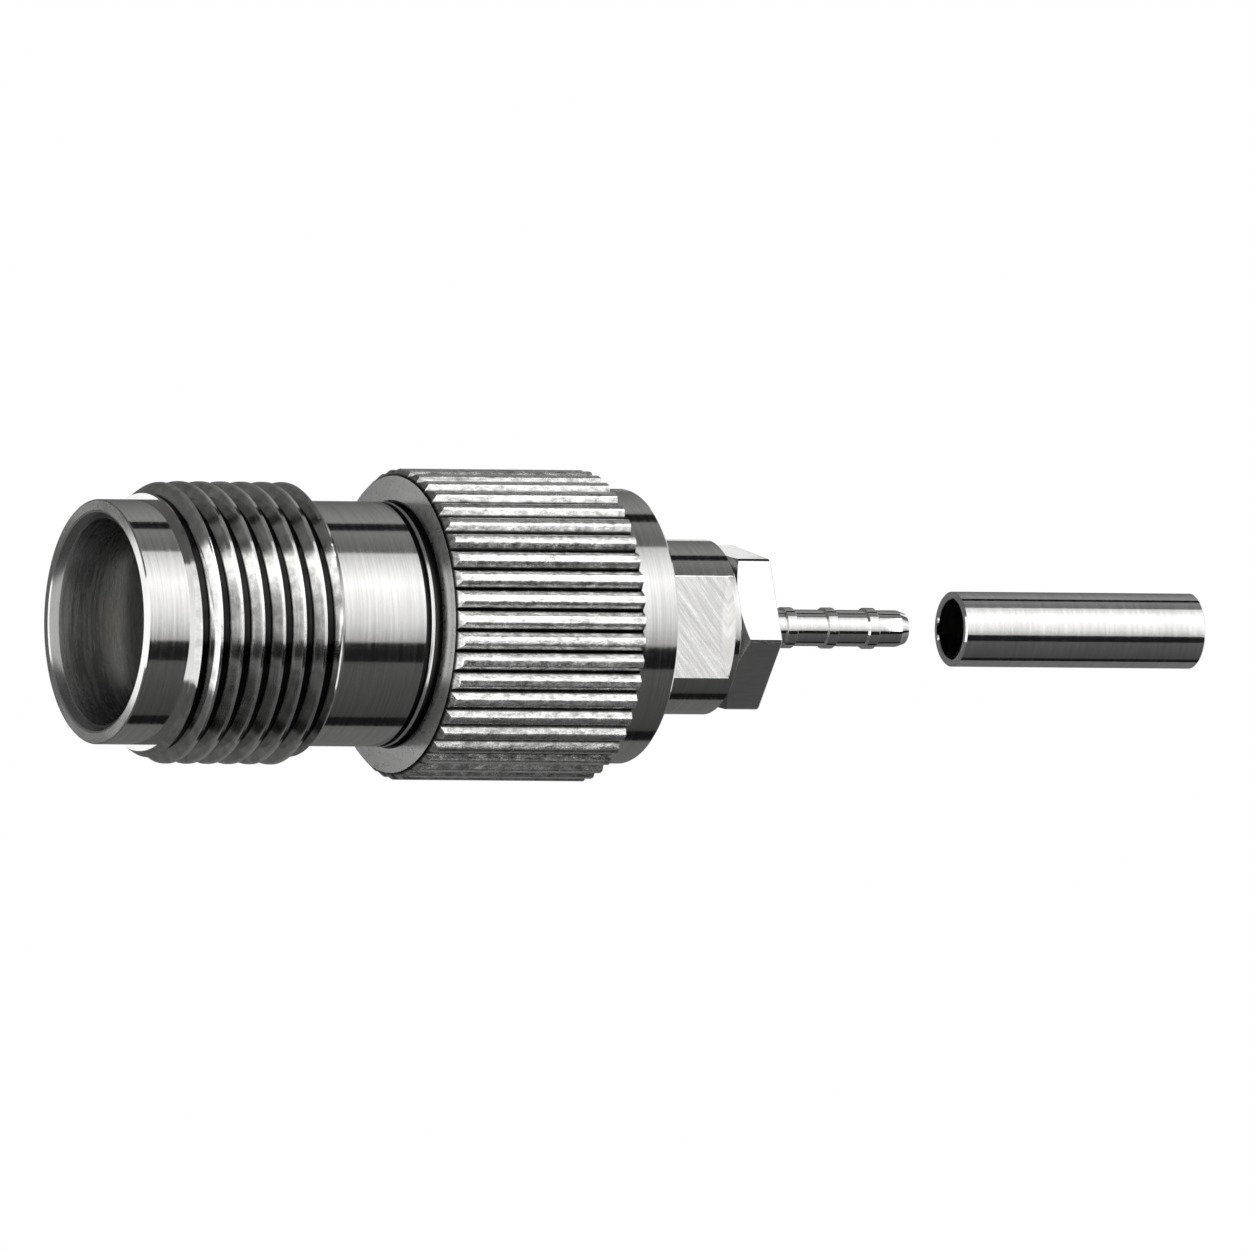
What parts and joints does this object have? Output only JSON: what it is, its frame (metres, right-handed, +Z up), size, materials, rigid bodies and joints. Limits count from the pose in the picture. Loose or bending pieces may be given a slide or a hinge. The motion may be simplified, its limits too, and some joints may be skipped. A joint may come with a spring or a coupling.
{
  "type": "tnc crimp jack",
  "caption": "Coaxial jack with a threaded mating barrel, knurled body, hexagon crimp nut with a ringed stem, and a loose crimp ferrule for a thin cable.",
  "frame": {"origin": "on the surface that the knurl lies on, below the middle of the whole set's length", "axes": "+Z up; the common axis of all pieces runs along +X, from the mouth at -X to the ferrule at +X"},
  "size_m": [0.0476, 0.0122, 0.0122],
  "materials": {
    "shell_nickel": "nickel plated, bright turned",
    "body_nickel": "nickel plated, knurled and milled",
    "nut_nickel": "nickel plated",
    "ferrule_nickel": "nickel plated, smooth drawn tube",
    "contact_gold": "gold plated",
    "insulator_white": "waxy white fluoroplastic"
  },
  "bodies": {
    "jack": {"jack_shell": "shell_nickel", "knurled_body": "body_nickel", "front_insulator": "insulator_white"},
    "core": {"rear_insulator": "insulator_white", "center_contact": "contact_gold"},
    "nut": {"crimp_nut": "nut_nickel"},
    "ferrule": {"ferrule": "ferrule_nickel"}
  },
  "joints": [
    {"name": "core_slide", "type": "slide", "parent": "jack", "child": "core", "axis": [1, 0, 0], "range_m": [0, 0.003]},
    {"name": "nut_turn", "type": "hinge", "parent": "core", "child": "nut", "pos_m": [0.00448, 0, 0.00611], "axis": [1, 0, 0], "range_deg": [0, 2160]},
    {"name": "ferrule_slide", "type": "slide", "parent": "nut", "child": "ferrule", "axis": [1, 0, 0], "range_m": [-0.00885, 0]}
  ],
  "couplings": [
    {"joint": "nut_turn", "follows": "core_slide", "rad_per_m": 12566}
  ]
}
